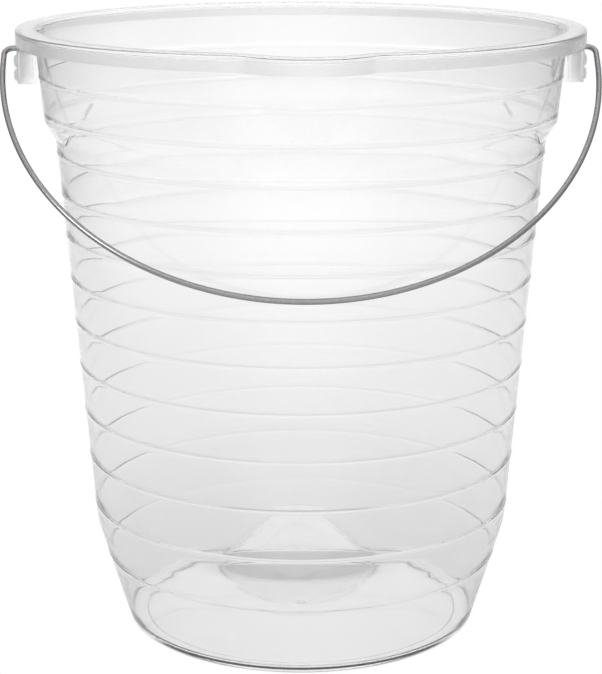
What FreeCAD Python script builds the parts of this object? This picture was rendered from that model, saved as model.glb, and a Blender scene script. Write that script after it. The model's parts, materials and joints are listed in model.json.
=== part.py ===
"""Twelve-litre clear plastic bucket with a pour lip, a tipping grip and a wire bail.

Frame: millimetres, +Z up, origin at the centre of the base on the resting plane.
The pour lip faces -Y, the tipping grip faces +Y and the bail pivots lie on the X axis.
"""
import FreeCAD, Part
import math
import os

Vector = FreeCAD.Vector
UP = Vector(0, 0, 1)
ORIGIN = Vector(0, 0, 0)

# ---- driving dimensions ---------------------------------------------------------------
WALL = 1.6                    # wall thickness everywhere on the bucket

RIM_TOP = 316.5               # height of the flat top of the rim
RIM_RADIUS = 145.0            # outside of the rim skirt
RIM_WALL_RADIUS = 135.9       # outside of the wall where it meets the rim
RIM_PLATE = 2.0               # thickness of the flat top of the rim
SKIRT_HEIGHT = 8.0
SKIRT_THICKNESS = 1.8

SHOULDER_HEIGHT = 273.5       # the wide collar starts here
SHOULDER_RADIUS = 132.0
SIDE_WALL_HEIGHT = 264.0      # the wall starts to widen into the collar here
SIDE_WALL_RADIUS = 126.4
APRON_BOTTOM = 261.5          # under the ears the wall starts to widen lower down
APRON_TOP = 270.4
APRON_TOP_RADIUS = 131.7
APRON_HALF_WIDTH = 47.0       # along the apron's lower edge
APRON_SPREAD = 30.0           # how much wider the apron is at the collar

BREAK_HEIGHT = 56.5           # the steep lower taper starts here
BREAK_RADIUS = 109.7
BASE_RADIUS = 92.9
BASE_CORNER = 3.0

FLOOR_TOP = 3.0
FLOOR_UNDERSIDE = 1.0
FOOT_INNER_RADIUS = 84.0
GATE_RADIUS = 1.8
GATE_LENGTH = 0.6

LITRE = 1.0e6                 # in cubic millimetres
LITRE_RINGS = 12
VOLUME_STEP = 0.05            # height step used when adding up the volume
RING_HEIGHT = 2.4
RING_CREST = 0.8              # flat part of a ring's height
RING_PROUD = 0.35

LIP_REACH = 13.0              # how far the pour lip stands out from the round rim
LIP_HALF_WIDTH = 30.0
LIP_BOTTOM = 276.0            # where the lip runs out into the wall
LIP_PIPE_RADIUS = 27.0

GRIP_HALF_WIDTH = 44.0
GRIP_HEIGHT = 24.0            # where the vault meets the back wall
GRIP_FRONT = 32.0             # the grip reaches forward to this far behind the centre
GRIP_FRONT_RADIUS = 63.0
GRIP_ROOF_DROP = 5.0          # degrees, towards the front

EAR_HALF_WIDTH = 12.0
EAR_BOTTOM = 288.5
EAR_WALL = 2.0
EAR_PAD_PROUD = 1.3
EAR_PAD_HALF_WIDTH = 8.0
EAR_PAD_HEIGHT = 6.2
EAR_PAD_GAP = 0.8

PIVOT_HEIGHT = 305.2
WIRE_RADIUS = 1.4
WIRE_HOLE_RADIUS = 1.7
BAIL_RADIUS = 151.5           # centreline radius of the round part of the bail
BAIL_CENTRE_DROP = 10.5       # from the pivot line to the centre of the round part
BAIL_CORNER = 4.5             # centreline radius where the wire turns into the ear
BAIL_REST_ANGLE = 40.4        # degrees below level when the bail lies on the front wall
WIRE_END = 138.5              # how far in the wire reaches, from the bucket's axis
WIRE_HEAD_RADIUS = 2.4
WIRE_HEAD_LENGTH = 1.5

SKIRT_BOTTOM = RIM_TOP - SKIRT_HEIGHT
LIP_FRONT = RIM_RADIUS + LIP_REACH
CLEAR = 10.0                  # how far cutting tools run past what they cut


# ---- the line of the wall ---------------------------------------------------------------
def radius_between(height, lower, upper):
    """Radius at a height on the straight line between two (radius, height) points."""
    share = (height - lower[1]) / (upper[1] - lower[1])
    return lower[0] + share * (upper[0] - lower[0])


def wall_radius(height):
    """Outside radius of the plain wall, without its rings."""
    base = (BASE_RADIUS, 0.0)
    bend = (BREAK_RADIUS, BREAK_HEIGHT)
    side = (SIDE_WALL_RADIUS, SIDE_WALL_HEIGHT)
    collar = (SHOULDER_RADIUS, SHOULDER_HEIGHT)
    rim = (RIM_WALL_RADIUS, RIM_TOP)
    if height < BREAK_HEIGHT:
        return radius_between(height, base, bend)
    if height < SIDE_WALL_HEIGHT:
        return radius_between(height, bend, side)
    if height < SHOULDER_HEIGHT:
        return radius_between(height, side, collar)
    return radius_between(height, collar, rim)


def litre_heights(lost_volume):
    """Heights at which the bucket holds 1, 2, 3 ... litres."""
    heights = []
    volume = -lost_volume
    height = FLOOR_TOP
    while len(heights) < LITRE_RINGS:
        height += VOLUME_STEP
        inside = wall_radius(height) - WALL
        volume += math.pi * inside * inside * VOLUME_STEP
        if volume >= LITRE * (len(heights) + 1):
            heights.append(height)
    return heights


def ring_points(height):
    """Outline of one raised ring, from its lower edge to its upper edge."""
    half = RING_HEIGHT / 2
    flat = RING_CREST / 2
    return [
        (wall_radius(height - half), height - half),
        (wall_radius(height - flat) + RING_PROUD, height - flat),
        (wall_radius(height + flat) + RING_PROUD, height + flat),
        (wall_radius(height + half), height + half),
    ]


def outside_points(rings):
    """The wall's outside from the base corner up to the top of the rim."""
    points = [
        (BREAK_RADIUS, BREAK_HEIGHT),
        (SIDE_WALL_RADIUS, SIDE_WALL_HEIGHT),
        (RIM_WALL_RADIUS, RIM_TOP),
    ]
    for height in rings:
        points.extend(ring_points(height))
    return sorted(points, key=lambda point: point[1])


def inside_points():
    """The wall's inside from the floor up past the rim."""
    above = RIM_TOP + CLEAR
    return [
        (wall_radius(FLOOR_TOP) - WALL, FLOOR_TOP),
        (BREAK_RADIUS - WALL, BREAK_HEIGHT),
        (SIDE_WALL_RADIUS - WALL, SIDE_WALL_HEIGHT),
        (SHOULDER_RADIUS - WALL, SHOULDER_HEIGHT),
        (wall_radius(above) - WALL, above),
    ]


# ---- small shape helpers ----------------------------------------------------------------
def revolved(edges):
    """Solid of revolution about Z from a closed run of edges in the XZ plane."""
    face = Part.Face(Part.Wire(edges))
    return face.revolve(ORIGIN, UP, 360)


def polyline(points):
    """Straight edges through (radius, height) points in the XZ plane."""
    corners = [Vector(radius, 0, height) for radius, height in points]
    return [Part.makeLine(start, end) for start, end in zip(corners, corners[1:])]


def closed_polygon(points):
    return polyline(points + points[:1])


def slab(radius, bottom, top, x=0.0, y=0.0):
    """Upright cylinder between two heights."""
    return Part.makeCylinder(radius, top - bottom, Vector(x, y, bottom), UP)


def box(low, high):
    size = [top - bottom for bottom, top in zip(low, high)]
    return Part.makeBox(size[0], size[1], size[2], Vector(*low))


# ---- bucket body ------------------------------------------------------------------------
def base_corner_edges():
    """Centre of the underside, the rounded corner, and the start of the wall."""
    taper = Vector(BREAK_RADIUS - BASE_RADIUS, 0, BREAK_HEIGHT).normalize()
    inward = Vector(-1, 0, 0)
    corner = Vector(BASE_RADIUS, 0, 0)
    half_angle = taper.getAngle(inward) / 2
    tangent_length = BASE_CORNER / math.tan(half_angle)
    bisector = (taper + inward).normalize()
    centre = corner + bisector * (BASE_CORNER / math.sin(half_angle))
    on_base = corner + inward * tangent_length
    on_wall = corner + taper * tangent_length
    middle = centre - bisector * BASE_CORNER
    flat = Part.makeLine(ORIGIN, on_base)
    round_edge = Part.Arc(on_base, middle, on_wall).toShape()
    return [flat, round_edge], on_wall


def outer_block(rings):
    """Everything inside the outer surface of the wall, as one filled block."""
    start_edges, wall_start = base_corner_edges()
    points = [(wall_start.x, wall_start.z)] + outside_points(rings)
    points += [(0.0, RIM_TOP), (0.0, 0.0)]
    return revolved(start_edges + polyline(points))


def hollow_block():
    """The round inside of the bucket, open upwards."""
    points = inside_points()
    return revolved(closed_polygon(points + [(0.0, RIM_TOP + CLEAR), (0.0, FLOOR_TOP)]))


def lip_pipe(radius, top):
    """Leaning pipe whose front bulges out of the wall as the pour lip."""
    front_at_rim = RIM_WALL_RADIUS + LIP_REACH
    lean = math.atan((front_at_rim - wall_radius(LIP_BOTTOM)) / (RIM_TOP - LIP_BOTTOM))
    centre_at_rim = -front_at_rim + LIP_PIPE_RADIUS / math.cos(lean)
    direction = Vector(0, -math.sin(lean), math.cos(lean))
    length = 2 * (RIM_TOP - LIP_BOTTOM)
    start = Vector(0, centre_at_rim, RIM_TOP) - direction * length
    pipe = Part.makeCylinder(radius, 2 * length, start, direction)
    floor_height = LIP_BOTTOM - CLEAR / 2
    return pipe.common(slab(2 * RIM_RADIUS, floor_height, top))


def rim_outline(inset, bottom, top):
    """Round rim and pour lip in plan, as an upright block inset from the skirt."""
    chord = math.sqrt(RIM_RADIUS ** 2 - LIP_HALF_WIDTH ** 2)
    depth = LIP_FRONT - chord
    lip_radius = (LIP_HALF_WIDTH ** 2 + depth ** 2) / (2 * depth)
    lip = slab(lip_radius - inset, bottom, top, y=lip_radius - LIP_FRONT)
    return slab(RIM_RADIUS - inset, bottom, top).fuse(lip)


def rim():
    """Flat top with a skirt that turns down at its edge."""
    plate_bottom = RIM_TOP - RIM_PLATE
    outside = rim_outline(0.0, SKIRT_BOTTOM, RIM_TOP)
    channel = rim_outline(SKIRT_THICKNESS, SKIRT_BOTTOM - CLEAR, plate_bottom)
    return outside.cut(channel)


def apron(inset):
    """Bulges under the ears where the wall widens lower down and more steeply."""
    low = APRON_BOTTOM + inset
    foot = wall_radius(APRON_BOTTOM) - WALL
    section = [
        (foot, APRON_BOTTOM - inset),
        (wall_radius(APRON_BOTTOM) - inset, APRON_BOTTOM),
        (APRON_TOP_RADIUS - inset, APRON_TOP),
        (SHOULDER_RADIUS - inset, SHOULDER_HEIGHT),
        (foot, SHOULDER_HEIGHT),
    ]
    ring = revolved(closed_polygon(section))
    half = APRON_HALF_WIDTH - inset
    corners = [(-half, low), (half, low), (half + APRON_SPREAD, SHOULDER_HEIGHT),
               (-half - APRON_SPREAD, SHOULDER_HEIGHT), (-half, low)]
    outline = Part.makePolygon([Vector(-2 * RIM_RADIUS, y, height) for y, height in corners])
    sides = Part.Face(outline).extrude(Vector(4 * RIM_RADIUS, 0, 0))
    return ring.common(sides)


def grip(grow, bottom):
    """Vaulted hollow at the bottom of the back, grown by a thickness."""
    arch_radius = (GRIP_HALF_WIDTH ** 2 + GRIP_HEIGHT ** 2) / (2 * GRIP_HEIGHT)
    lean = math.radians(GRIP_ROOF_DROP)
    direction = Vector(0, -math.cos(lean), -math.sin(lean))
    start = Vector(0, wall_radius(GRIP_HEIGHT), GRIP_HEIGHT - arch_radius) - direction * CLEAR * 2
    vault = Part.makeCylinder(arch_radius + grow, 2 * RIM_RADIUS, start, direction)
    front_centre = GRIP_FRONT + GRIP_FRONT_RADIUS
    front = slab(GRIP_FRONT_RADIUS + grow, bottom, 2 * GRIP_HEIGHT, y=front_centre)
    return vault.common(front)


def ear():
    """Hollow lug under the rim at +X, open downwards, with two pads on its face."""
    inner = wall_radius(EAR_BOTTOM) - WALL / 2
    plate_bottom = RIM_TOP - RIM_PLATE / 2
    block = box((inner, -EAR_HALF_WIDTH, EAR_BOTTOM), (RIM_RADIUS, EAR_HALF_WIDTH, plate_bottom))
    inside_y = EAR_HALF_WIDTH - EAR_WALL
    room_low = (inner - CLEAR, -inside_y, EAR_BOTTOM - CLEAR)
    room_high = (RIM_RADIUS - EAR_WALL, inside_y, plate_bottom - RIM_PLATE / 2)
    lug = block.cut(box(room_low, room_high)).common(slab(RIM_RADIUS, EAR_BOTTOM, RIM_TOP))
    pad_bottom = EAR_BOTTOM + EAR_PAD_GAP
    for index in range(2):
        low_z = pad_bottom + index * (EAR_PAD_HEIGHT + EAR_PAD_GAP)
        low = (RIM_RADIUS - EAR_WALL, -EAR_PAD_HALF_WIDTH, low_z)
        high = (RIM_RADIUS + EAR_PAD_PROUD, EAR_PAD_HALF_WIDTH, low_z + EAR_PAD_HEIGHT)
        lug = lug.fuse(box(low, high))
    return lug


def ear_hole():
    start = Vector(RIM_RADIUS - 2 * EAR_WALL, 0, PIVOT_HEIGHT)
    return Part.makeCylinder(WIRE_HOLE_RADIUS, CLEAR, start, Vector(1, 0, 0))


def half_turn(shape):
    """Copy of a shape, turned half way round the bucket."""
    turned = shape.copy()
    turned.rotate(ORIGIN, UP, 180)
    return turned


def bucket_body():
    grip_shell = grip(WALL, 0.0)
    lost = grip_shell.common(hollow_block()).Volume
    rings = litre_heights(lost)

    hollow = hollow_block()
    hollow = hollow.fuse(lip_pipe(LIP_PIPE_RADIUS - WALL, RIM_TOP + CLEAR))
    hollow = hollow.fuse(apron(WALL))
    hollow = hollow.cut(grip_shell)

    lug = ear()
    body = outer_block(rings)
    for piece in (lip_pipe(LIP_PIPE_RADIUS, RIM_TOP), apron(0.0), rim(), lug, half_turn(lug)):
        body = body.fuse(piece)
    body = body.cut(hollow)
    body = body.cut(slab(FOOT_INNER_RADIUS, -CLEAR, FLOOR_UNDERSIDE))
    body = body.cut(grip(0.0, -CLEAR))
    body = body.cut(ear_hole()).cut(half_turn(ear_hole()))
    gate = slab(GATE_RADIUS, FLOOR_UNDERSIDE - GATE_LENGTH, FLOOR_TOP)
    return body.fuse(gate).removeSplitter()


# ---- wire bail --------------------------------------------------------------------------
def bent(start, middle, end):
    """Arc edge through three points."""
    return Part.Arc(start, middle, end).toShape()


def bail_path():
    """Centreline of the bail as it hangs straight down, from one end to the other."""
    corner_x = BAIL_RADIUS - BAIL_CORNER
    turn = BAIL_CORNER * (1 - math.sqrt(0.5))

    def at(x, drop):
        return Vector(x, 0, PIVOT_HEIGHT - drop)

    right = [
        Part.makeLine(at(WIRE_END, 0), at(corner_x, 0)),
        bent(at(corner_x, 0), at(BAIL_RADIUS - turn, turn), at(BAIL_RADIUS, BAIL_CORNER)),
        Part.makeLine(at(BAIL_RADIUS, BAIL_CORNER), at(BAIL_RADIUS, BAIL_CENTRE_DROP)),
    ]
    lowest = at(0, BAIL_CENTRE_DROP + BAIL_RADIUS)
    left_top = at(-BAIL_RADIUS, BAIL_CENTRE_DROP)
    bow = bent(at(BAIL_RADIUS, BAIL_CENTRE_DROP), lowest, left_top)
    left = [
        Part.makeLine(left_top, at(-BAIL_RADIUS, BAIL_CORNER)),
        bent(at(-BAIL_RADIUS, BAIL_CORNER), at(turn - BAIL_RADIUS, turn), at(-corner_x, 0)),
        Part.makeLine(at(-corner_x, 0), at(-WIRE_END, 0)),
    ]
    return Part.Wire(right + [bow] + left)


def bail_handle():
    start = Vector(WIRE_END, 0, PIVOT_HEIGHT)
    section = Part.Wire(Part.makeCircle(WIRE_RADIUS, start, Vector(1, 0, 0)))
    wire = bail_path().makePipeShell([section], True, False)
    head = Part.makeCylinder(WIRE_HEAD_RADIUS, WIRE_HEAD_LENGTH, start, Vector(1, 0, 0))
    bail = wire.fuse(head).fuse(half_turn(head))
    bail.rotate(Vector(0, 0, PIVOT_HEIGHT), Vector(1, 0, 0), BAIL_REST_ANGLE - 90)
    return bail


# ---- output -----------------------------------------------------------------------------
def main():
    os.makedirs("parts", exist_ok=True)
    parts = {"bucket_body": bucket_body(), "bail_handle": bail_handle()}
    for name, shape in parts.items():
        shape.exportStep("parts/" + name + ".step")
        size = shape.optimalBoundingBox()
        low = [round(value, 1) for value in (size.XMin, size.YMin, size.ZMin)]
        high = [round(value, 1) for value in (size.XMax, size.YMax, size.ZMax)]
        print(name, "valid", shape.isValid(), "solids", len(shape.Solids))
        print("  volume cm3", round(shape.Volume / 1000, 2), "from", low, "to", high)


main()
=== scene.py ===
"""Looks of the twelve-litre clear bucket: its smooth moulded shell, its wire bail and the studio.

Shapes are worked out in millimetres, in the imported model's frame, and turned into metres
when a mesh is made. Angles round the bucket start at the pour lip and grow towards +X.
"""
import json
import math

import bmesh
import bpy
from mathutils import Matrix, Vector


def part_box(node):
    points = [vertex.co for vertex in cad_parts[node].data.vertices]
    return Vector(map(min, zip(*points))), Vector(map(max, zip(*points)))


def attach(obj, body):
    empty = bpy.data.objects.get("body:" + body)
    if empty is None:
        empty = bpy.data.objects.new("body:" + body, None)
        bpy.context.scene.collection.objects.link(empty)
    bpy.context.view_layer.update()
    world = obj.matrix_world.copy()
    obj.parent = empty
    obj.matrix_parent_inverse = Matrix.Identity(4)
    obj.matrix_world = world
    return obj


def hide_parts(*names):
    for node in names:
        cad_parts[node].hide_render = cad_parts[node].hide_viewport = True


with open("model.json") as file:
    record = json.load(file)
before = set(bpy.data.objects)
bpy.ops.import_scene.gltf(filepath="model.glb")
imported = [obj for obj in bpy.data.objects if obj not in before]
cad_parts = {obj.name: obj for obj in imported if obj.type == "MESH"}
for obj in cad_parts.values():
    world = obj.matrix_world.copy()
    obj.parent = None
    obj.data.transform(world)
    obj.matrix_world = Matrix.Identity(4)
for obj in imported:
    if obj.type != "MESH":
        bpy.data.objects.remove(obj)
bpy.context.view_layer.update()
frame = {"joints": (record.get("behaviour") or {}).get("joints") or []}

MM = 0.001

# ---- sizes read from the frame, in millimetres --------------------------------------------
BODY_LOW, BODY_HIGH = (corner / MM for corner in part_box("bucket_body"))
PIVOT_HEIGHT = frame["joints"][0]["pos_m"][2] / MM
RIM_TOP = BODY_HIGH.z
RIM_RADIUS = BODY_HIGH.y
LIP_FRONT = -BODY_LOW.y
PAD_FACE = BODY_HIGH.x

# ---- sizes of the mouldings, in millimetres -------------------------------------------------
WALL = 1.6
RIM_WALL_RADIUS = 135.9
RIM_PLATE = 2.0
SKIRT_HEIGHT = 8.0
SKIRT_THICKNESS = 1.8
RIM_EDGE = 1.2
SKIRT_EDGE = 0.3

SHOULDER_HEIGHT = 273.5
SHOULDER_RADIUS = 132.0
SIDE_WALL_HEIGHT = 264.0
SIDE_WALL_RADIUS = 126.4
APRON_BOTTOM = 261.5
APRON_TOP = 270.4
APRON_TOP_RADIUS = 131.7
APRON_HALF_WIDTH = 47.0
APRON_SPREAD = 38.0
APRON_FULL_HALF_WIDTH = 34.0
APRON_FADE = 46.0

BREAK_HEIGHT = 56.5
BREAK_RADIUS = 109.7
BASE_RADIUS = 92.9
BASE_CORNER = 3.0

FLOOR_TOP = 3.0
FLOOR_UNDERSIDE = 1.0
FLOOR_CORNER = 4.0
FOOT_INNER_RADIUS = 84.0
FOOT_EDGE = 0.4
GATE_RADIUS = 1.8
GATE_LENGTH = 0.6

LITRE = 1.0e6
LITRE_RINGS = 12
VOLUME_STEP = 0.05
RING_HEIGHT = 2.4
RING_PROUD = 0.32

LIP_HALF_WIDTH = 30.0
LIP_BOTTOM = 274.0
LIP_WALL_HALF_WIDTH = 38.0
LIP_BLEND = 2.0
WALL_BEND = 3.0

GRIP_FRONT = 32.0
GRIP_FRONT_RADIUS = 63.0
GRIP_BACK = 94.0
GRIP_BACK_HEIGHT = 22.0
GRIP_BACK_RADIUS = 26.0
GRIP_BACK_FLANK = math.radians(36)
GRIP_HEIGHT = 18.4
GRIP_RADIUS = 90.0
GRIP_FLANK = math.radians(45)
GRIP_CREST = 5.0

EAR_HALF_WIDTH = 12.0
EAR_BOTTOM = 288.5
EAR_WALL = 2.0
EAR_FACE_INSET = 0.35
EAR_CORNER = 1.2
EAR_PAD_HALF_WIDTH = 8.0
EAR_PAD_HEIGHT = 6.2
EAR_PAD_GAP = 0.8

WIRE_RADIUS = 1.4
WIRE_HOLE_RADIUS = 1.7
BAIL_RADIUS = 151.5
BAIL_CENTRE_DROP = 10.5
BAIL_CORNER = 4.5
BAIL_REST_ANGLE = 40.4
WIRE_END = 138.5
WIRE_HEAD_RADIUS = 2.35
WIRE_HEAD_LENGTH = 1.5

SKIRT_BOTTOM = RIM_TOP - SKIRT_HEIGHT
PLATE_BOTTOM = RIM_TOP - RIM_PLATE
LIP_REACH = LIP_FRONT - RIM_RADIUS

# ---- the plastic and the wire ---------------------------------------------------------------
PLASTIC_TRANSMISSION = 0.955
PLASTIC_IOR = 1.49
EAR_MATT = 0.34
EAR_MATT_START = 136.5           # millimetres from the middle, along X
EAR_MATT_FULL = 138.0
RIM_MATT = 0.1
WIRE_EDGE_TONE = 0.3

# ---- the studio: lengths in millimetres, light as shares of plain white -----------------------
TABLE_HALF_WIDTH = 12000.0
TABLE_DROP = 0.2
TABLE_REACH = 1200.0
# painted shade round the bucket: (distance from the middle in millimetres, tone of the table's
# glow)
TABLE_PAINTED_SHADE_TONES = (
    (0, 0.66),
    (92, 0.66),
    (100, 0.58),
    (170, 0.62),
    (400, 0.75),
    (750, 0.88),
    (1100, 1.0),
)
# strength of the table's painted glow in the middle, and its painted shade in the grip's pocket
TABLE_LIGHT = 1.23
POCKET_SHADE = 0.62
WORLD_LIGHT = 1.22
SIDE_LIGHT = 0.58
SIDE_START = 0.3
SIDE_END = 0.8
HORIZON_SHARE = 0.82
LAMP_PLACE = (-1000, -700, 900)
LAMP_TARGET = (0, 0, 250)
LAMP_WIDTH = 500.0
LAMP_POWER = 5.0                # watts
EYE_DISTANCE = 1029.0
EYE_HEIGHT = 413.8
EYE_PITCH = 0.2492
EYE_YAW = math.radians(1.5)
EYE_LENS = 119.4
SENSOR_WIDTH = 36
LIGHT_BOUNCES = 32


# ---- the line of the wall --------------------------------------------------------------------
def mixed(start, end, share):
    return start + (end - start) * share


def sharp_radius(height):
    """Outside radius of the round wall, with crisp bends."""
    turns = [
        (BASE_RADIUS, 0.0),
        (BREAK_RADIUS, BREAK_HEIGHT),
        (SIDE_WALL_RADIUS, SIDE_WALL_HEIGHT),
        (SHOULDER_RADIUS, SHOULDER_HEIGHT),
        (RIM_WALL_RADIUS, RIM_TOP),
    ]
    for lower, upper in zip(turns, turns[1:]):
        if height < upper[1]:
            break
    return mixed(lower[0], upper[0], (height - lower[1]) / (upper[1] - lower[1]))


def wall_radius(height):
    """Outside radius of the round wall, without rings or lip; its bends are softened."""
    reach = min(WALL_BEND, height, RIM_TOP - height)
    steps = 4
    if reach <= 0:
        return sharp_radius(height)
    radii = [sharp_radius(height + reach * step / steps) for step in range(-steps, steps + 1)]
    return sum(radii) / len(radii)


def apron_edge(angle):
    """Height of the apron's lower edge; it rises to the collar away from the ears."""
    off_ear = abs(SHOULDER_RADIUS * math.cos(angle))
    share = min(max((off_ear - APRON_HALF_WIDTH) / APRON_SPREAD, 0.0), 1.0)
    return mixed(APRON_BOTTOM, SHOULDER_HEIGHT, math.sin(math.radians(90 * share)))


def apron_proud(angle, height):
    """How far the aprons stand out from the wall; they are fuller under the ears."""
    if height < APRON_TOP:
        share = (height - APRON_BOTTOM) / (APRON_TOP - APRON_BOTTOM)
        cone = mixed(wall_radius(APRON_BOTTOM), APRON_TOP_RADIUS, share)
    elif height < SHOULDER_HEIGHT:
        share = (height - APRON_TOP) / (SHOULDER_HEIGHT - APRON_TOP)
        cone = mixed(APRON_TOP_RADIUS, SHOULDER_RADIUS, share)
    else:
        return 0.0
    off_ear = abs(SHOULDER_RADIUS * math.cos(angle))
    fade = min(max((off_ear - APRON_FULL_HALF_WIDTH) / APRON_FADE, 0.0), 1.0)
    fullness = (1 - fade) ** 2
    return max(cone - wall_radius(height), 0.0) * fullness


def smooth_max(first, second, blend):
    """Larger of two radii, with the corner between them rounded."""
    if second is None:
        return first
    near = max(blend - abs(first - second), 0.0) / blend
    return max(first, second) + near * near * blend / 4


def far_side(angle, centre, half_width, half_depth):
    """Distance to the far side of an ellipse centred in front of the axis, or None."""
    across = math.sin(angle) / half_width
    ahead = math.cos(angle) / half_depth
    start = centre / half_depth
    square = across * across + ahead * ahead
    inside = (ahead * start) ** 2 - square * (start * start - 1)
    if inside < 0 or math.cos(angle) < 0:
        return None
    return (ahead * start + math.sqrt(inside)) / square


def collar_radius(angle, height, inset):
    """Radius of the collar, which bulges into the pour lip; the bulge widens upwards."""
    radius = wall_radius(height) - inset
    rise = (height - LIP_BOTTOM) / (RIM_TOP - LIP_BOTTOM)
    if rise <= 0 or math.cos(angle) < 0:
        return radius
    share = abs(radius * math.sin(angle)) / (LIP_WALL_HALF_WIDTH * math.sqrt(rise))
    if share >= 1:
        return radius
    return radius + LIP_REACH * rise * math.cos(math.pi / 2 * share) ** 2


def rim_radius(angle, inset):
    """Plan of the rim: round, with the pour lip standing out of it."""
    chord = math.sqrt(RIM_RADIUS ** 2 - LIP_HALF_WIDTH ** 2)
    depth = LIP_FRONT - chord
    size = (LIP_HALF_WIDTH ** 2 + depth ** 2) / (2 * depth)
    lip = far_side(angle, LIP_FRONT - size, size - inset, size - inset)
    return smooth_max(RIM_RADIUS - inset, lip, LIP_BLEND)


# ---- the tipping grip ------------------------------------------------------------------------
def roof_shape(y, grow):
    """Height, crown radius and flank angle of the vault, wide in front and peaked behind."""
    share = min(max((GRIP_BACK - y) / (GRIP_BACK - GRIP_FRONT), 0.0), 1.0)
    top = mixed(GRIP_BACK_HEIGHT, GRIP_HEIGHT, share) + grow
    crown = mixed(GRIP_BACK_RADIUS, GRIP_RADIUS, share) + grow
    return top, crown, mixed(GRIP_BACK_FLANK, GRIP_FLANK, share)


def roof_height(x, y, grow):
    """Height of the vault: a round crown between two straight flanks."""
    top, crown, flank = roof_shape(y, grow)
    turn = crown * math.sin(flank)
    if abs(x) < turn:
        return top - crown + math.sqrt(crown * crown - x * x)
    return top - crown * (1 - math.cos(flank)) - (abs(x) - turn) * math.tan(flank)


def roof_foot(y, bottom, grow):
    """Half the width of the vault at a height."""
    top, crown, flank = roof_shape(y, grow)
    crown_drop = crown * (1 - math.cos(flank))
    if top - bottom < crown_drop:
        return math.sqrt(crown * crown - (crown - top + bottom) ** 2)
    return crown * math.sin(flank) + (top - bottom - crown_drop) / math.tan(flank)


def vault_height(x, y, grow):
    """Height of the vault over a point, or None beside it."""
    axis_y = GRIP_FRONT + GRIP_FRONT_RADIUS
    if y < axis_y and math.hypot(x, y - axis_y) > GRIP_FRONT_RADIUS + grow:
        return None
    return roof_height(x, y, grow)


def grip_volume():
    """What the grip takes away from the inside of the bucket."""
    step = 1.0
    inside = wall_radius(GRIP_HEIGHT / 2) - WALL
    count = int(inside / step)
    total = 0.0
    for column in range(-count, count + 1):
        for row in range(count + 1):
            x, y = column * step, row * step
            height = vault_height(x, y, WALL)
            if height is not None and math.hypot(x, y) < inside:
                total += max(height - FLOOR_TOP, 0.0) * step * step
    return total


def litre_heights():
    """Heights at which the bucket holds 1, 2, 3 ... litres."""
    heights = []
    volume = -grip_volume()
    height = FLOOR_TOP
    while len(heights) < LITRE_RINGS:
        height += VOLUME_STEP
        inside = wall_radius(height) - WALL
        volume += math.pi * inside * inside * VOLUME_STEP
        if volume >= LITRE * (len(heights) + 1):
            heights.append(height)
    return heights


# ---- the shell's section ---------------------------------------------------------------------
def rounded(corners, steps):
    """Points along a section whose corners (radius, height, rounding) are rounded."""
    points = []
    for index, (across, up, rounding) in enumerate(corners):
        corner = Vector((across, up))
        if rounding == 0:
            points.append(corner)
            continue
        before = Vector(corners[index - 1][:2]) - corner
        after = Vector(corners[index + 1][:2]) - corner
        half = before.angle(after) / 2
        length = rounding / math.tan(half)
        length = min(length, before.length * 0.45, after.length * 0.45)
        start = corner + before.normalized() * length
        end = corner + after.normalized() * length
        for step in range(steps + 1):
            share = step / steps
            first = start.lerp(corner, share)
            second = corner.lerp(end, share)
            points.append(first.lerp(second, share))
    return points


def ring_proud(height, rings):
    """How far a litre ring stands out at a height."""
    for ring in rings:
        share = abs(height - ring) / (RING_HEIGHT / 2)
        if share < 1:
            return RING_PROUD * (1 + math.cos(math.pi * share)) / 2
    return 0.0


def spaced(low, high, count):
    """Evenly spaced heights from low up to, but not including, high."""
    return [mixed(low, high, step / count) for step in range(count)]


def sample_heights(low, high, gap, rings):
    """Heights from low to high, evenly spaced, and close together over each ring."""
    heights = spaced(low, high, math.ceil((high - low) / gap))
    half = RING_HEIGHT / 2
    for ring in rings:
        if low < ring - half and ring + half < high:
            heights = [height for height in heights if abs(height - ring) > half + 0.3]
            heights += [ring + half * step / 5 for step in range(-5, 6)]
    return sorted(heights)


def wall_corners(angle, inset, rings):
    """The wall from the floor corner up to the rim plate, on its outside or inside."""
    low = BASE_CORNER * 2.5 if inset == 0 else FLOOR_TOP + FLOOR_CORNER * 2
    below = APRON_BOTTOM - 3.0
    above = SHOULDER_HEIGHT + 3.0
    edge = apron_edge(angle)
    corners = []
    for height in sample_heights(low, below, 6.0, rings) + spaced(below, edge, 24) + [edge]:
        corners.append((wall_radius(height) - inset + ring_proud(height, rings), height, 0))
    for height in spaced(edge + 0.12, above, 28):
        radius = wall_radius(height) + apron_proud(angle, height)
        corners.append((radius - inset + ring_proud(height, rings), height, 0))
    end = PLATE_BOTTOM if inset == 0 else RIM_TOP
    for height in sample_heights(above, end, 1.6, rings):
        radius = collar_radius(angle, height, inset) + ring_proud(height, rings)
        corners.append((radius, height, 0))
    return corners


def foot_corners():
    """Underside: the gate mark, the recess and the foot ring, out to the base corner."""
    tip = FLOOR_UNDERSIDE - GATE_LENGTH
    corners = [(0, tip, 0), (GATE_RADIUS, tip, 0.3), (GATE_RADIUS, FLOOR_UNDERSIDE, 0.2)]
    corners += [(radius, FLOOR_UNDERSIDE, 0) for radius in (8, 20, 35, 50, 65, 78)]
    corners += [
        (FOOT_INNER_RADIUS, FLOOR_UNDERSIDE, FOOT_EDGE),
        (FOOT_INNER_RADIUS, 0, FOOT_EDGE),
        (BASE_RADIUS, 0, BASE_CORNER),
    ]
    return corners


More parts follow.
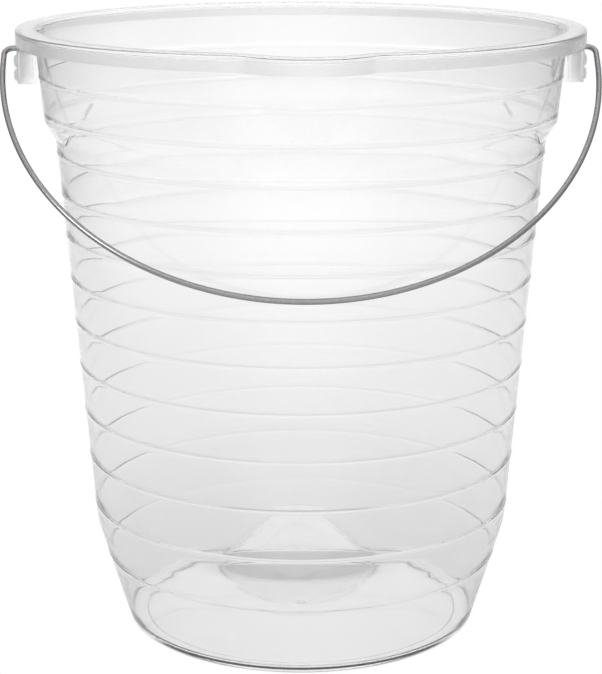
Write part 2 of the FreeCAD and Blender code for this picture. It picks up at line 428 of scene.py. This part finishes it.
def rim_corners(angle):
    """Under the rim plate, round the skirt and back over the flat top."""
    wall = collar_radius(angle, PLATE_BOTTOM, 0)
    inner_top = collar_radius(angle, RIM_TOP, WALL)
    skirt_inside = max(rim_radius(angle, SKIRT_THICKNESS), wall + 2.4)
    skirt_outside = rim_radius(angle, 0)
    middle = (inner_top + skirt_outside) / 2
    return [
        (wall, PLATE_BOTTOM, 0.8),
        (skirt_inside, PLATE_BOTTOM, 0.8),
        (skirt_inside, SKIRT_BOTTOM, SKIRT_EDGE),
        (skirt_outside, SKIRT_BOTTOM, SKIRT_EDGE),
        (skirt_outside, RIM_TOP, RIM_EDGE),
        (middle, RIM_TOP, 0),
        (inner_top, RIM_TOP, SKIRT_EDGE),
    ]


def floor_corners():
    """Inside floor, from its corner to the centre."""
    corner = [(wall_radius(FLOOR_TOP) - WALL, FLOOR_TOP, FLOOR_CORNER)]
    middle = [(radius, FLOOR_TOP, 0) for radius in (82, 70, 55, 40, 25, 12, 0)]
    return corner + middle


def shell_section(angle, rings):
    """Closed section of the shell at one angle, from the gate mark round to the floor's centre."""
    inside = wall_corners(angle, WALL, [])
    inside.reverse()
    corners = foot_corners() + wall_corners(angle, 0, rings) + rim_corners(angle)
    corners += inside + floor_corners()
    return rounded(corners, 5)


def shell_angles():
    """Angles round the bucket, closer together across the pour lip."""
    lip = 20
    fine = [math.radians(step * 0.5) for step in range(-2 * lip, 2 * lip)]
    rest = 360 - 2 * lip
    count = round(rest / 1.25)
    coarse = [math.radians(lip + rest * step / count) for step in range(count)]
    return fine + coarse


# ---- mesh helpers -----------------------------------------------------------------------------
def new_object(name, points, faces):
    """Mesh object from points in millimetres."""
    mesh = bpy.data.meshes.new(name)
    mesh.from_pydata([Vector(point) * MM for point in points], [], faces)
    mesh.validate()
    piece = bpy.data.objects.new(name, mesh)
    bpy.context.scene.collection.objects.link(piece)
    cleaned(mesh)
    return piece


def cleaned(mesh):
    """Merges doubled points and turns every face outwards."""
    work = bmesh.new()
    work.from_mesh(mesh)
    bmesh.ops.remove_doubles(work, verts=work.verts, dist=0.0005 * MM)
    bmesh.ops.recalc_face_normals(work, faces=work.faces)
    work.to_mesh(mesh)
    work.free()


def grid_faces(rows, columns, closed_rows, closed_columns):
    """Quads of a grid of points, wrapping round where it is closed."""
    faces = []
    for row in range(rows if closed_rows else rows - 1):
        next_row = (row + 1) % rows
        for column in range(columns if closed_columns else columns - 1):
            next_column = (column + 1) % columns
            faces.append((row * columns + column, row * columns + next_column,
                          next_row * columns + next_column, next_row * columns + column))
    return faces


def prism(name, outline, low, high):
    """Upright solid with the given outline of (x, y) points."""
    count = len(outline)
    points = [(x, y, z) for z in (low, high) for x, y in outline]
    faces = [(step, (step + 1) % count, count + (step + 1) % count, count + step)
             for step in range(count)]
    faces += [tuple(reversed(range(count))), tuple(range(count, 2 * count))]
    return new_object(name, points, faces)


def rod(name, radius, start_x, end_x):
    """Round bar along X at the height of the bail's pivot."""
    sides = 48
    points = []
    for x in (start_x, end_x):
        for side in range(sides):
            turn = 2 * math.pi * side / sides
            points.append((x, radius * math.cos(turn), PIVOT_HEIGHT + radius * math.sin(turn)))
    faces = grid_faces(2, sides, False, True)
    faces += [tuple(reversed(range(sides))), tuple(range(sides, 2 * sides))]
    return new_object(name, points, faces)


def combine(piece, tool, operation):
    """Adds a tool to a piece, or cuts it away, and deletes the tool."""
    modifier = piece.modifiers.new("combine", "BOOLEAN")
    modifier.operation = operation
    modifier.solver = "EXACT"
    modifier.object = tool
    graph = bpy.context.evaluated_depsgraph_get()
    mesh = bpy.data.meshes.new_from_object(piece.evaluated_get(graph), depsgraph=graph)
    piece.modifiers.clear()
    piece.data = mesh
    bpy.data.objects.remove(tool)


def shade(piece, degrees):
    """Smooth shading with crisp edges where faces meet at more than an angle."""
    piece.data.shade_smooth()
    piece.data.set_sharp_from_angle(angle=math.radians(degrees))


# ---- the bucket --------------------------------------------------------------------------------
def lathe_shell():
    """The wall, floor, collar, rim and pour lip as one closed skin."""
    rings = litre_heights()
    angles = shell_angles()
    points = []
    for angle in angles:
        section = shell_section(angle, rings)
        for radius, height in section:
            points.append((radius * math.sin(angle), -radius * math.cos(angle), height))
    columns = len(points) // len(angles)
    return new_object("bucket_shell", points, grid_faces(len(angles), columns, True, False))


def vault_solid(name, grow, bottom, back_inset, crest):
    """Solid under the grip's vault, grown by a thickness, from the bottom height up."""
    ahead = GRIP_FRONT_RADIUS + grow
    axis_y = GRIP_FRONT + GRIP_FRONT_RADIUS

    def at(share, y):
        """Point on the roof at a share of the way from the middle to the vault's foot."""
        x = share * roof_foot(y, bottom, grow)
        return x, roof_height(x, y, grow)

    def front_of(share):
        y = GRIP_FRONT - grow
        for _ in range(20):
            x = at(share, y)[0]
            y = axis_y - math.sqrt(ahead * ahead - x * x)
        return y

    def back_of(x, height):
        radius = wall_radius(max(height, 0)) - back_inset
        return math.sqrt(radius * radius - x * x)

    def loop(share):
        """Closed run of points at one share: up the front, over the roof and down the back."""
        front = front_of(share)
        x, top = at(share, front)
        back = back_of(x, top)
        edge = min(crest, (top - bottom) / 2)
        points = []
        for step in range(5):
            points.append((x, front, mixed(bottom, top - edge, step / 4)))
        for step in range(1, 7):
            turn = math.radians(90) * step / 6
            y = front + edge * (1 - math.cos(turn))
            x_there, roof = at(share, y)
            points.append((x_there, y, roof - edge * (1 - math.sin(turn))))
        for step in range(1, 17):
            y = mixed(front + edge, back, step / 16)
            x_there, roof = at(share, y)
            points.append((x_there, y, roof))
        x_back, _, roof = points[-1]
        for step in range(1, 6):
            height = mixed(roof, bottom, step / 5)
            points.append((x_back, back_of(x_back, height), height))
        for step in range(1, 4):
            y = mixed(points[-1][1], front, 1 / (5 - step))
            points.append((mixed(x_back, x, step / 4), y, bottom))
        return points

    count = 72
    loops = [loop(math.sin(math.radians(mixed(-90, 90, step / count))))
             for step in range(count + 1)]
    length = len(loops[0])
    points = [point for run in loops for point in run]
    return new_object(name, points, grid_faces(count + 1, length, False, True))


def arc_points(centre_x, centre_y, radius, start, end, steps):
    points = []
    for step in range(steps + 1):
        turn = math.radians(mixed(start, end, step / steps))
        points.append((centre_x + radius * math.cos(turn), centre_y + radius * math.sin(turn)))
    return points


def ear_block(name, inset, low, high, inner):
    """Block of the ear's outline in plan, inset from its faces."""
    face = RIM_RADIUS - EAR_FACE_INSET - inset
    half = EAR_HALF_WIDTH - inset
    corner = max(EAR_CORNER - inset, 0.3)
    turn = math.degrees(math.asin((half - corner) / face))
    outline = [(inner, -half)]
    side_x = face * math.cos(math.radians(turn)) - corner
    outline += arc_points(side_x, -half + corner, corner, -90, 0, 5)[:-1]
    outline += arc_points(0, 0, face, -turn, turn, 10)
    outline += arc_points(side_x, half - corner, corner, 0, 90, 5)[1:]
    outline.append((inner, half))
    return prism(name, outline, low, high)


def pad(name, low, high):
    """Rounded pad on an ear's face."""
    half = EAR_PAD_HALF_WIDTH
    inner = RIM_RADIUS - EAR_WALL
    rows = 12
    points = []
    for row in range(rows + 1):
        lean = math.radians(mixed(-90, 90, row / rows))
        height = mixed(low, high, (math.sin(lean) + 1) / 2)
        proud = (PAD_FACE - RIM_RADIUS + 0.8) * math.cos(lean) ** 0.5 - 0.8
        face = RIM_RADIUS + proud
        points += [(inner, -half, height), (face - 0.6, -half, height), (face, -half + 0.8, height),
                   (face, half - 0.8, height), (face - 0.6, half, height), (inner, half, height)]
    faces = grid_faces(rows + 1, 6, False, True)
    last = rows * 6
    faces += [tuple(reversed(range(6))), tuple(range(last, last + 6))]
    return new_object(name, points, faces)


def turned(piece, side):
    """Turns a piece made at +X half way round the bucket when side is -1."""
    if side < 0:
        for vertex in piece.data.vertices:
            vertex.co.x *= -1
            vertex.co.y *= -1
    return piece


def add_ears(shell):
    """The two hollow lugs that hold the bail, with their pads and wire holes."""
    inner = wall_radius(EAR_BOTTOM) - WALL / 2
    plate_middle = RIM_TOP - RIM_PLATE / 2
    for side in (1, -1):
        lug = ear_block("lug", 0, EAR_BOTTOM, plate_middle, inner)
        for index in range(2):
            low = EAR_BOTTOM + EAR_PAD_GAP + index * (EAR_PAD_HEIGHT + EAR_PAD_GAP)
            combine(lug, pad("pad", low, low + EAR_PAD_HEIGHT), "UNION")
        room_inner = wall_radius(RIM_TOP) + 0.05
        combine(shell, turned(lug, side), "UNION")
        room = ear_block("room", EAR_WALL, EAR_BOTTOM - 10, PLATE_BOTTOM - 0.01, room_inner)
        combine(shell, turned(room, side), "DIFFERENCE")
        hole = rod("hole", WIRE_HOLE_RADIUS, RIM_RADIUS - 2 * EAR_WALL, PAD_FACE + 5)
        combine(shell, turned(hole, side), "DIFFERENCE")


def make_bucket():
    shell = lathe_shell()
    lining = vault_solid("lining", WALL, FLOOR_UNDERSIDE + 0.8, WALL / 2, GRIP_CREST)
    combine(shell, lining, "UNION")
    hollow = vault_solid("hollow", 0, -6, -15, GRIP_CREST - WALL)
    combine(shell, hollow, "DIFFERENCE")
    add_ears(shell)
    shade(shell, 35)
    return shell


# ---- the bail ----------------------------------------------------------------------------------
def bail_line():
    """Points along the hanging wire from +X to -X, in the plane of the bail: (x, drop)."""
    corner_x = BAIL_RADIUS - BAIL_CORNER
    points = [(WIRE_END, 0), (WIRE_END + 3, 0), (corner_x - 2, 0)]
    for step in range(13):
        turn = math.radians(90 * step / 12)
        points.append((corner_x + BAIL_CORNER * math.sin(turn),
                       BAIL_CORNER * (1 - math.cos(turn))))
    bow_steps = 240
    for step in range(bow_steps + 1):
        turn = math.pi * step / bow_steps
        points.append((BAIL_RADIUS * math.cos(turn),
                       BAIL_CENTRE_DROP + BAIL_RADIUS * math.sin(turn)))
    half = points[:15]
    return points + [(-x, drop) for x, drop in reversed(half)]


def make_bail():
    """Round wire swept along the bail's line, with an upset head on each end."""
    line = [Vector((x, 0, -drop)) for x, drop in bail_line()]
    sides = 28
    down = math.radians(BAIL_REST_ANGLE - 90)
    ahead = Vector((0, 1, 0))
    points = []
    rows = 0

    def add_row(centre, along, radius):
        across = along.cross(ahead)
        for side in range(sides):
            turn = 2 * math.pi * side / sides
            point = centre + (across * math.cos(turn) + ahead * math.sin(turn)) * radius
            y = point.y * math.cos(down) - point.z * math.sin(down)
            z = point.y * math.sin(down) + point.z * math.cos(down)
            points.append((point.x, y, z + PIVOT_HEIGHT))

    head = [(0, WIRE_HEAD_RADIUS - 0.5), (0.12, WIRE_HEAD_RADIUS - 0.15), (0.4, WIRE_HEAD_RADIUS),
            (WIRE_HEAD_LENGTH - 0.4, WIRE_HEAD_RADIUS), (WIRE_HEAD_LENGTH, WIRE_RADIUS + 0.2),
            (WIRE_HEAD_LENGTH + 0.2, WIRE_RADIUS)]
    for off, radius in head:
        add_row(line[0] - Vector((-off, 0, 0)), Vector((1, 0, 0)), radius)
        rows += 1
    for index in range(1, len(line) - 1):
        along = (line[index + 1] - line[index - 1]).normalized()
        add_row(line[index], along, WIRE_RADIUS)
        rows += 1
    for off, radius in reversed(head):
        add_row(line[-1] + Vector((off, 0, 0)), Vector((1, 0, 0)), radius)
        rows += 1
    faces = grid_faces(rows, sides, False, True)
    last = (rows - 1) * sides
    faces += [tuple(reversed(range(sides))), tuple(range(last, last + sides))]
    bail = new_object("bail_wire", points, faces)
    shade(bail, 50)
    return bail


# ---- materials ---------------------------------------------------------------------------------
def new_material(name):
    """Node material with its tree and its shader."""
    material = bpy.data.materials.new(name)
    material.use_nodes = True
    tree = material.node_tree
    tree.nodes.clear()
    output = tree.nodes.new("ShaderNodeOutputMaterial")
    shader = tree.nodes.new("ShaderNodeBsdfPrincipled")
    tree.links.new(shader.outputs["BSDF"], output.inputs["Surface"])
    return material, tree, shader


def object_coordinates(tree):
    return tree.nodes.new("ShaderNodeTexCoord").outputs["Object"]


def noise(tree, vector, scale, detail):
    node = tree.nodes.new("ShaderNodeTexNoise")
    node.inputs["Scale"].default_value = scale
    node.inputs["Detail"].default_value = detail
    tree.links.new(vector, node.inputs["Vector"])
    return node.outputs["Fac"]


def remapped(tree, value, low, high, start=0.0, end=1.0):
    """Maps start..end to low..high."""
    node = tree.nodes.new("ShaderNodeMapRange")
    node.inputs["From Min"].default_value = start
    node.inputs["From Max"].default_value = end
    node.inputs["To Min"].default_value = low
    node.inputs["To Max"].default_value = high
    tree.links.new(value, node.inputs["Value"])
    return node.outputs["Result"]


def arithmetic(tree, operation, first, second):
    """Math node of one or two values, each a number or a socket."""
    node = tree.nodes.new("ShaderNodeMath")
    node.operation = operation
    for socket, value in zip(node.inputs, (first, second)):
        if isinstance(value, float):
            socket.default_value = value
        else:
            tree.links.new(value, socket)
    return node.outputs["Value"]


def grey_between(tree, share, dark, light):
    """Grey colour that goes from dark to light with a share."""
    node = tree.nodes.new("ShaderNodeMix")
    node.data_type = "RGBA"
    node.inputs["A"].default_value = (dark, dark, dark, 1)
    node.inputs["B"].default_value = (light, light, light, 1)
    tree.links.new(share, node.inputs["Factor"])
    return node.outputs["Result"]


def frosted_shares(tree, where):
    """Two masks: one on the ears, and one on the rim."""
    parts = tree.nodes.new("ShaderNodeSeparateXYZ")
    tree.links.new(where, parts.inputs["Vector"])
    out = arithmetic(tree, "ABSOLUTE", parts.outputs["X"], 0.0)
    beyond_wall = remapped(tree, out, 0.0, 1.0, EAR_MATT_START * MM, EAR_MATT_FULL * MM)
    height = parts.outputs["Z"]
    rim = remapped(tree, height, 0.0, 1.0, (SKIRT_BOTTOM - 0.6) * MM, SKIRT_BOTTOM * MM)
    under_rim = arithmetic(tree, "SUBTRACT", 1.0, rim)
    return arithmetic(tree, "MULTIPLY", beyond_wall, under_rim), rim


def clear_plastic():
    """Clear polypropylene: a faint uneven haze, and a fine matt texture on the ears."""
    material, tree, shader = new_material("clear_plastic")
    where = object_coordinates(tree)
    clarity = noise(tree, where, 18, 3)
    tree.links.new(grey_between(tree, clarity, 0.98, 1.0), shader.inputs["Base Color"])
    haze = remapped(tree, noise(tree, where, 35, 3), 0.02, 0.06)
    ears, rim = frosted_shares(tree, where)
    matt = arithmetic(tree, "MULTIPLY", ears, EAR_MATT)
    soft = arithmetic(tree, "MULTIPLY", rim, RIM_MATT)
    frosted = arithmetic(tree, "ADD", matt, soft)
    tree.links.new(arithmetic(tree, "ADD", haze, frosted), shader.inputs["Roughness"])
    bump = tree.nodes.new("ShaderNodeBump")
    bump.inputs["Strength"].default_value = 0.05
    bump.inputs["Distance"].default_value = 0.0005
    tree.links.new(noise(tree, where, 60, 2), bump.inputs["Height"])
    tree.links.new(bump.outputs["Normal"], shader.inputs["Normal"])
    shader.inputs["Transmission Weight"].default_value = PLASTIC_TRANSMISSION
    shader.inputs["IOR"].default_value = PLASTIC_IOR
    return material


def steel_wire():
    """Bright drawn steel wire with fine streaks, darker towards its edges."""
    material, tree, shader = new_material("steel_wire")
    where = object_coordinates(tree)
    streak = noise(tree, where, 900, 4)
    tree.links.new(grey_between(tree, streak, 0.24, 0.42), shader.inputs["Base Color"])
    rough = remapped(tree, noise(tree, where, 300, 3), 0.16, 0.30)
    tree.links.new(rough, shader.inputs["Roughness"])
    shader.inputs["Metallic"].default_value = 1.0
    edge = WIRE_EDGE_TONE
    shader.inputs["Specular Tint"].default_value = (edge, edge, edge, 1)
    return material


def pocket_shade(tree, where):
    """Painted shade: the table's glow is darker in the pocket under the tipping grip."""
    middle = (GRIP_FRONT + GRIP_BACK) / 2 * MM
    half_length = (GRIP_BACK - GRIP_FRONT) / 2 * MM
    half_width = roof_foot(GRIP_FRONT, 0, 0) * MM
    mapping = tree.nodes.new("ShaderNodeMapping")
    mapping.vector_type = "POINT"
    mapping.inputs["Location"].default_value = (0, -middle / half_length, 0)
    mapping.inputs["Scale"].default_value = (1 / half_width, 1 / half_length, 0)
    tree.links.new(where, mapping.inputs["Vector"])
    length = tree.nodes.new("ShaderNodeVectorMath")
    length.operation = "LENGTH"
    tree.links.new(mapping.outputs["Vector"], length.inputs[0])
    return remapped(tree, length.outputs["Value"], POCKET_SHADE, 1.0, 0.8, 1.15)


def painted_table_glow(tree, where):
    """Painted light that leaves the glowing table: painted shade, darker round the bucket and far
    out to its sides.
    """
    length = tree.nodes.new("ShaderNodeVectorMath")
    length.operation = "LENGTH"
    tree.links.new(where, length.inputs[0])
    distance = length.outputs["Value"]
    ramp = tree.nodes.new("ShaderNodeValToRGB")
    ramp.color_ramp.elements.remove(ramp.color_ramp.elements[0])
    for place, tone in TABLE_PAINTED_SHADE_TONES:
        stop = ramp.color_ramp.elements.new(place / TABLE_REACH)
        stop.color = (tone, tone, tone, 1)
    ramp.color_ramp.elements[-1].color = (1, 1, 1, 1)
    tree.links.new(arithmetic(tree, "DIVIDE", distance, TABLE_REACH * MM), ramp.inputs["Fac"])
    parts = tree.nodes.new("ShaderNodeSeparateXYZ")
    tree.links.new(where, parts.inputs["Vector"])
    out = arithmetic(tree, "ABSOLUTE", parts.outputs["X"], 0.0)
    # painted shade: the table's glow weakens towards its sides
    side = remapped(tree, out, TABLE_LIGHT, SIDE_LIGHT, SIDE_START, SIDE_END)
    return ramp.outputs["Color"], arithmetic(tree, "MULTIPLY", side, pocket_shade(tree, where))


def white_table_painted_shade():
    """White to the eye; through the bucket it glows with painted soft shade and shows its gloss."""
    material, tree, shader = new_material("white_table_painted_shade")
    tree.nodes.remove(shader)
    where = object_coordinates(tree)
    color, strength = painted_table_glow(tree, where)
    # the table glows, though it is no lamp, with its painted shade
    glow = tree.nodes.new("ShaderNodeEmission")
    tree.links.new(color, glow.inputs["Color"])
    tree.links.new(strength, glow.inputs["Strength"])
    mirror = tree.nodes.new("ShaderNodeBsdfGlossy")
    mirror.inputs["Roughness"].default_value = 0.015
    fresnel = tree.nodes.new("ShaderNodeFresnel")
    fresnel.inputs["IOR"].default_value = 1.5
    shaded = tree.nodes.new("ShaderNodeMixShader")
    tree.links.new(fresnel.outputs["Fac"], shaded.inputs["Fac"])
    tree.links.new(glow.outputs["Emission"], shaded.inputs[1])
    tree.links.new(mirror.outputs["BSDF"], shaded.inputs[2])
    plain = tree.nodes.new("ShaderNodeEmission")
    path = tree.nodes.new("ShaderNodeLightPath")
    seen = tree.nodes.new("ShaderNodeMixShader")
    tree.links.new(path.outputs["Is Camera Ray"], seen.inputs["Fac"])
    tree.links.new(shaded.outputs["Shader"], seen.inputs[1])
    tree.links.new(plain.outputs["Emission"], seen.inputs[2])
    output = next(node for node in tree.nodes if node.type == "OUTPUT_MATERIAL")
    tree.links.new(seen.outputs["Shader"], output.inputs["Surface"])
    return material


# ---- studio ------------------------------------------------------------------------------------
def make_table():
    """Large white table, a hair under the bucket's foot."""
    half = TABLE_HALF_WIDTH
    corners = [(-half, -half, -TABLE_DROP), (half, -half, -TABLE_DROP),
               (half, half, -TABLE_DROP), (-half, half, -TABLE_DROP)]
    table = new_object("table", corners, [(0, 1, 2, 3)])
    table.data.materials.append(white_table_painted_shade())


def make_world():
    """Soft white light from all round, a little weaker from the sides."""
    world = bpy.data.worlds.new("studio")
    bpy.context.scene.world = world
    world.use_nodes = True
    tree = world.node_tree
    background = tree.nodes["Background"]
    direction = tree.nodes.new("ShaderNodeTexCoord").outputs["Generated"]
    parts = tree.nodes.new("ShaderNodeSeparateXYZ")
    tree.links.new(direction, parts.inputs["Vector"])
    aside = arithmetic(tree, "ABSOLUTE", parts.outputs["X"], 0.0)
    dim = remapped(tree, aside, WORLD_LIGHT, SIDE_LIGHT, SIDE_START, SIDE_END)
    rise = remapped(tree, parts.outputs["Z"], HORIZON_SHARE, 1.0, 0.0, 0.4)
    path = tree.nodes.new("ShaderNodeLightPath")
    soft = arithmetic(tree, "MULTIPLY", dim, rise)
    light = arithmetic(tree, "MAXIMUM", soft, path.outputs["Is Camera Ray"])
    tree.links.new(light, background.inputs["Strength"])
    background.inputs["Color"].default_value = (1, 1, 1, 1)


def make_softbox(piece):
    """Square lamp to the left and above that draws a bright streak along the wire only."""
    data = bpy.data.lights.new("softbox", "AREA")
    data.size = LAMP_WIDTH * MM
    data.energy = LAMP_POWER
    lamp = bpy.data.objects.new("softbox", data)
    lamp.location = Vector(LAMP_PLACE) * MM
    aim = Vector(LAMP_TARGET) * MM - lamp.location
    lamp.rotation_euler = aim.to_track_quat("-Z", "Y").to_euler()
    bpy.context.scene.collection.objects.link(lamp)
    lit = bpy.data.collections.new("softbox_lit")
    lit.objects.link(piece)
    lamp.light_linking.receiver_collection = lit


def make_camera():
    """Seen from a little above the rim, looking slightly down."""
    data = bpy.data.cameras.new("camera")
    data.sensor_fit = "HORIZONTAL"
    data.sensor_width = SENSOR_WIDTH
    data.lens = EYE_LENS
    camera = bpy.data.objects.new("camera", data)
    x = -EYE_DISTANCE * math.sin(EYE_YAW)
    y = -EYE_DISTANCE * math.cos(EYE_YAW)
    camera.location = Vector((x, y, EYE_HEIGHT)) * MM
    camera.rotation_euler = (math.pi / 2 - EYE_PITCH, 0, -EYE_YAW)
    bpy.context.scene.collection.objects.link(camera)
    bpy.context.scene.camera = camera


# ---- put together ------------------------------------------------------------------------------
make_camera()
make_world()
make_table()

bucket = make_bucket()
bucket.data.materials.append(clear_plastic())
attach(bucket, "bucket")
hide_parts("bucket_body")

bail = make_bail()
bail.data.materials.append(steel_wire())
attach(bail, "bail")
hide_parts("bail_handle")
make_softbox(bail)

bpy.context.scene.view_settings.view_transform = "Standard"
bpy.context.scene.cycles.max_bounces = LIGHT_BOUNCES
bpy.context.scene.cycles.transmission_bounces = LIGHT_BOUNCES
